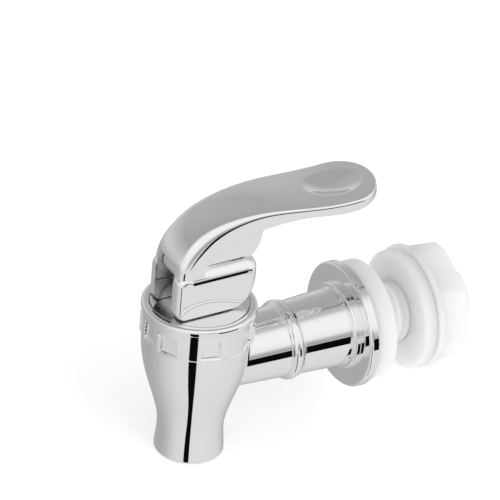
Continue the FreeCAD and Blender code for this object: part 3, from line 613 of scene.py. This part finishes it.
# %% [markdown]
# ## Parts that the engineering model gives
# The turntable, the stem with its plug and seats, the pin and the seal are simple forms that the packed
# model has as they are. They keep their meshes and get their finishes here.

# %% Finishes for the kept parts
KEPT = {"turntable": satin, "pivot_pin": steel, "stem": inner, "seal_plug": silicone,
        "spring_retainer": inner, "spring_washer": steel, "bonnet_seal": silicone}
for name, material in KEPT.items():
    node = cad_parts[name]
    for slot in node.material_slots:
        slot.material = material
    print(name, "keeps its mesh:", len(node.data.polygons), "faces")

# %% [markdown]
# ## Studio
# The photograph is a white studio shot: light from all round, mid grey overhead, white at the sides and
# two black cards that draw crisp dark lines in the chrome. The camera is far away with a long lens, so
# parallel edges stay nearly parallel.

# %% The camera
AZIMUTH, ELEVATION, ROLL = math.radians(57.2), math.radians(31.9), math.radians(4.62)
SCALE, IMAGE, LENS, SENSOR = 3.74, 500, 800.0, 36.0
focal = LENS / SENSOR * IMAGE
distance = focal / SCALE
back = np.array([math.sin(AZIMUTH) * math.cos(ELEVATION), -math.cos(AZIMUTH) * math.cos(ELEVATION),
                 math.sin(ELEVATION)])
flat_right = np.array([math.cos(AZIMUTH), math.sin(AZIMUTH), 0])
flat_up = np.cross(back, flat_right)
right = flat_right * math.cos(ROLL) + flat_up * math.sin(ROLL)
up = flat_up * math.cos(ROLL) - flat_right * math.sin(ROLL)
seen_at = (346.6 - IMAGE / 2, 322.4 - IMAGE / 2)
aim = -(right * seen_at[0] - up * seen_at[1]) * distance / focal
eye = (aim + back * distance) * MM
camera_data = bpy.data.cameras.new("camera")
camera_data.lens, camera_data.sensor_width, camera_data.clip_end = LENS, SENSOR, 20
camera = bpy.data.objects.new("camera", camera_data)
bpy.context.scene.collection.objects.link(camera)
camera.matrix_world = Matrix([[right[0], up[0], back[0], eye[0]], [right[1], up[1], back[1], eye[1]],
                              [right[2], up[2], back[2], eye[2]], [0, 0, 0, 1]])
bpy.context.scene.camera = camera
print("camera at", np.round(eye, 3))


# %% The world: white where the camera looks past the object, and a studio of white and grey for the chrome
def ramp_of(nodes, stops):
    """A colour ramp of greys through (place, brightness) stops."""
    ramp = nodes.new("ShaderNodeValToRGB")
    while len(ramp.color_ramp.elements) < len(stops):
        ramp.color_ramp.elements.new(0.5)
    for element, (place, grey) in zip(ramp.color_ramp.elements, stops):
        element.position, element.color = place, (grey, grey, grey, 1)
    return ramp


def studio_world():
    """Brightness follows how far a direction points to the camera's side and down: x - 0.46 z. The side
    away from the camera and the ceiling are grey. There are three such ramps, one for the floor, one for
    the horizon and one for the ceiling, and the height z of a direction goes from each to the next."""
    world = bpy.data.worlds.new("studio")
    bpy.context.scene.world = world
    world.use_nodes = True
    nodes, links = world.node_tree.nodes, world.node_tree.links
    nodes.clear()
    place, split = nodes.new("ShaderNodeTexCoord"), nodes.new("ShaderNodeSeparateXYZ")
    lean, fit = nodes.new("ShaderNodeMath"), nodes.new("ShaderNodeMapRange")
    lean.operation = "MULTIPLY_ADD"
    lean.inputs[1].default_value = -0.46
    fit.inputs["From Min"].default_value, fit.inputs["From Max"].default_value = -1.1, 1.1
    floor = ramp_of(nodes, [(0.0, 0.46), (0.30, 0.43), (0.44, 0.51), (0.60, 0.66), (0.72, 0.74), (1.0, 0.80)])
    horizon = ramp_of(nodes, [(0.0, 0.68), (0.25, 0.60), (0.47, 0.86), (0.75, 0.96), (0.86, 0.88),
                              (0.91, 0.42), (1.0, 0.36)])
    ceiling = ramp_of(nodes, [(0.0, 0.47), (0.14, 0.40), (0.275, 0.42), (0.30, 0.20), (0.32, 0.46),
                              (0.41, 0.56), (0.49, 0.90), (0.58, 0.98), (0.80, 0.97), (1.0, 0.86)])
    last = floor
    links.new(fit.outputs["Result"], floor.inputs["Fac"])
    for ramp, low, high in ((horizon, -0.25, -0.02), (ceiling, 0.10, 0.52)):
        height, blend = nodes.new("ShaderNodeMapRange"), nodes.new("ShaderNodeMix")
        height.inputs["From Min"].default_value, height.inputs["From Max"].default_value = low, high
        blend.data_type = "RGBA"
        links.new(split.outputs["Z"], height.inputs["Value"])
        links.new(fit.outputs["Result"], ramp.inputs["Fac"])
        links.new(height.outputs["Result"], blend.inputs["Factor"])
        links.new(last.outputs[0] if last is floor else last.outputs["Result"], blend.inputs["A"])
        links.new(ramp.outputs["Color"], blend.inputs["B"])
        last = blend
    path, sky = nodes.new("ShaderNodeLightPath"), nodes.new("ShaderNodeBackground")
    output = nodes.new("ShaderNodeOutputWorld")
    mix = nodes.new("ShaderNodeMix")
    mix.data_type = "RGBA"
    mix.inputs["B"].default_value = (1, 1, 1, 1)
    links.new(place.outputs["Generated"], split.inputs["Vector"])
    links.new(split.outputs["Z"], lean.inputs[0])
    links.new(split.outputs["X"], lean.inputs[2])
    links.new(lean.outputs["Value"], fit.inputs["Value"])
    links.new(last.outputs["Result"], mix.inputs["A"])
    links.new(path.outputs["Is Camera Ray"], mix.inputs["Factor"])
    links.new(mix.outputs["Result"], sky.inputs["Color"])
    links.new(sky.outputs["Background"], output.inputs["Surface"])


studio_world()


# %% A floor that keeps the object's shadow and is white elsewhere
def white_floor():
    """A square of paper just under the spout's mouth. It glows a little, so only the shadow is grey."""
    mesh = bpy.data.meshes.new("floor")
    half, level = 1.5, -0.0268
    corners = [(-half, -half, level), (half, -half, level), (half, half, level), (-half, half, level)]
    mesh.from_pydata(corners, [], [(0, 1, 2, 3)])
    floor = bpy.data.objects.new("floor", mesh)
    bpy.context.scene.collection.objects.link(floor)
    material = bpy.data.materials.new("floor_paper")
    material.use_nodes = True
    shader = material.node_tree.nodes["Principled BSDF"]
    shader.inputs["Base Color"].default_value = (0.95, 0.95, 0.95, 1)
    shader.inputs["Roughness"].default_value = 0.9
    shader.inputs["Emission Color"].default_value = (1, 1, 1, 1)
    shader.inputs["Emission Strength"].default_value = 0.35
    mesh.materials.append(material)
    floor.visible_glossy = False


white_floor()


# %% Black cards that only reflections see
def card(name, direction, away, long_side, half_long, half_near, half_far):
    """A black trapezium square to a direction from the spigot, at a distance, seen by glossy rays alone.
    It is half_far wide at the end that the long side points to, and half_near at the other."""
    direction = np.array(direction, float) / np.linalg.norm(direction)
    long_side = np.array(long_side, float) - direction * np.dot(direction, long_side)
    long_side /= np.linalg.norm(long_side)
    wide_side = np.cross(direction, long_side)
    middle = np.array([0, -0.03, 0]) + direction * away
    signs = np.array([(-1, -half_near), (1, -half_far), (1, half_far), (-1, half_near)], float)
    corners = middle + signs[:, :1] * long_side * half_long + signs[:, 1:] * wide_side
    mesh = bpy.data.meshes.new(name)
    mesh.from_pydata(corners.tolist(), [], [(0, 1, 2, 3)])
    piece = bpy.data.objects.new(name, mesh)
    bpy.context.scene.collection.objects.link(piece)
    material = bpy.data.materials.get("black_card") or bpy.data.materials.new("black_card")
    material.use_nodes = True
    material.node_tree.nodes["Principled BSDF"].inputs["Base Color"].default_value = (0.004, 0.004, 0.004, 1)
    material.node_tree.nodes["Principled BSDF"].inputs["Specular IOR Level"].default_value = 0
    mesh.materials.append(material)
    piece.visible_camera = piece.visible_diffuse = piece.visible_shadow = piece.visible_transmission = False


def towards(azimuth, elevation):
    """The direction at an angle from +X towards +Y, and at an angle above the floor, in degrees."""
    azimuth, elevation = math.radians(azimuth), math.radians(elevation)
    flat = math.cos(elevation)
    return math.cos(azimuth) * flat, math.sin(azimuth) * flat, math.sin(elevation)


card("card_for_spout", towards(-37.5, -47), 1.2, (0, 0, 1), 0.72, 0.06, 0.19)
card("card_for_arm", (0.857, 0.454, -0.243), 1.2, (0.457, -0.861, 0), 0.42, 0.205, 0.205)


# %% Soft lamps
def lamp(name, place, size, power):
    """A square lamp that looks at the spigot."""
    data = bpy.data.lights.new(name, "AREA")
    data.size, data.energy = size, power
    light = bpy.data.objects.new(name, data)
    bpy.context.scene.collection.objects.link(light)
    place = np.array(place, float)
    away = place / np.linalg.norm(place)
    sideways = np.cross([0, 0, 1], away)
    sideways /= np.linalg.norm(sideways)
    upwards = np.cross(away, sideways)
    rows = [[sideways[i], upwards[i], away[i], place[i]] for i in range(3)]
    light.matrix_world = Matrix(rows + [[0, 0, 0, 1]])
    light.visible_glossy = False


lamp("lamp_left", (-0.4, -1.2, 1.3), 1.0, 5.0)
lamp("lamp_right", (1.3, 0.2, 1.0), 1.0, 4.0)

# %% The picture's settings
bpy.context.scene.view_settings.view_transform = "Standard"
